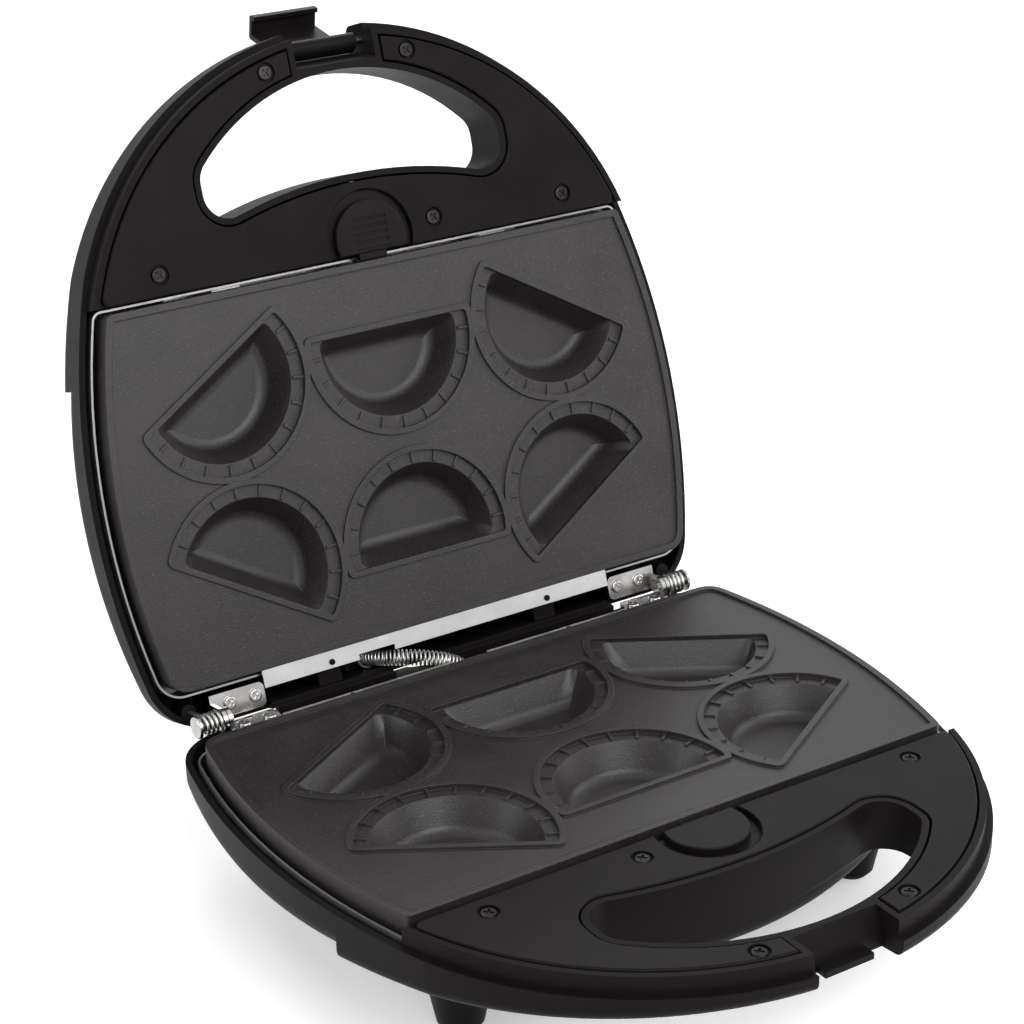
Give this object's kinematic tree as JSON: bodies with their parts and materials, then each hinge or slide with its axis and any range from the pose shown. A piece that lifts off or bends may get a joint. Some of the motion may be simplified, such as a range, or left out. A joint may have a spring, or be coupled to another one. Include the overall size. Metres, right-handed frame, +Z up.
{
  "type": "electric empanada maker",
  "caption": "Countertop cooker with a hinged lid, half-moon cavities in two cast plates, a C-shaped handle with a flip-over latch, standing on four legs.",
  "frame": {"origin": "centre of the footprint box at the height of the foot pads, lid open", "axes": "+X along the hinge axis, to the right seen from the front; front towards -Y; +Z up"},
  "size_m": [0.264, 0.368, 0.2927],
  "materials": {
    "housing_plastic": "glossy black moulding",
    "cover_plastic": "satin black",
    "button_plastic": "satin black",
    "coating": "dark speckled non-stick coating",
    "bright_sheet": "bright rolled sheet",
    "plated_steel": "zinc plated",
    "spring_steel": "spring wire",
    "black_steel": "black oxide",
    "element_steel": "dull tube",
    "inner_plastic": "natural plastic",
    "rubber": "matt black",
    "red_lens": "tinted lens",
    "green_lens": "tinted lens"
  },
  "bodies": {
    "base": {"base_housing": "housing_plastic", "base_handle_cover": "cover_plastic", "base_plate": "coating", "base_pan": "bright_sheet", "base_rail": "bright_sheet", "base_heating_element": "element_steel", "base_element_clips": "plated_steel", "base_cover_screws": "black_steel", "base_pan_screws": "plated_steel", "base_hinge_screws": "plated_steel", "base_hinge_brackets": "plated_steel", "hinge_pins": "plated_steel", "hinge_springs": "spring_steel", "conduit_spring": "spring_steel", "base_conduit_ferrule": "plated_steel", "base_thermostat": "inner_plastic", "thermal_fuse": "plated_steel", "terminal_block": "inner_plastic", "cord_inlet_bushing": "rubber", "foot_pads": "rubber", "base_button_spring": "spring_steel"},
    "lid": {"lid_housing": "housing_plastic", "lid_handle_cover": "cover_plastic", "lid_plate": "coating", "lid_pan": "bright_sheet", "lid_rail": "bright_sheet", "lid_heating_element": "element_steel", "lid_element_clips": "plated_steel", "lid_cover_screws": "black_steel", "lid_pan_screws": "plated_steel", "lid_hinge_screws": "plated_steel", "lid_hinge_brackets": "plated_steel", "lid_conduit_ferrule": "plated_steel", "lid_thermostat": "inner_plastic", "latch_pin": "plated_steel", "ready_lamp_lens": "green_lens", "power_lamp_lens": "red_lens", "lamp_carrier": "inner_plastic", "lid_button_spring": "spring_steel"},
    "latch": {"latch": "cover_plastic"},
    "base_button": {"base_release_button": "button_plastic"},
    "lid_button": {"lid_release_button": "button_plastic"}
  },
  "joints": [
    {"name": "lid_hinge", "type": "hinge", "parent": "base", "child": "lid", "pos_m": [0, 0.06368, 0.0587], "axis": [1, 0, 0], "range_deg": [0, 107.75], "deforming": ["conduit_spring", "hinge_springs"]},
    {"name": "latch_hinge", "type": "hinge", "parent": "lid", "child": "latch", "pos_m": [0, 0.1514, 0.28419], "axis": [1, 0, 0], "range_deg": [0, 153]},
    {"name": "base_button_slide", "type": "slide", "parent": "base", "child": "base_button", "axis": [0, -1, 0], "range_m": [0, 0.0036], "stiffness_N_per_m": 400, "springref_m": -0.002, "deforming": ["base_button_spring"]},
    {"name": "lid_button_slide", "type": "slide", "parent": "lid", "child": "lid_button", "axis": [0, 0.3049, 0.9524], "range_m": [0, 0.0036], "stiffness_N_per_m": 400, "springref_m": -0.002, "deforming": ["lid_button_spring"]}
  ]
}
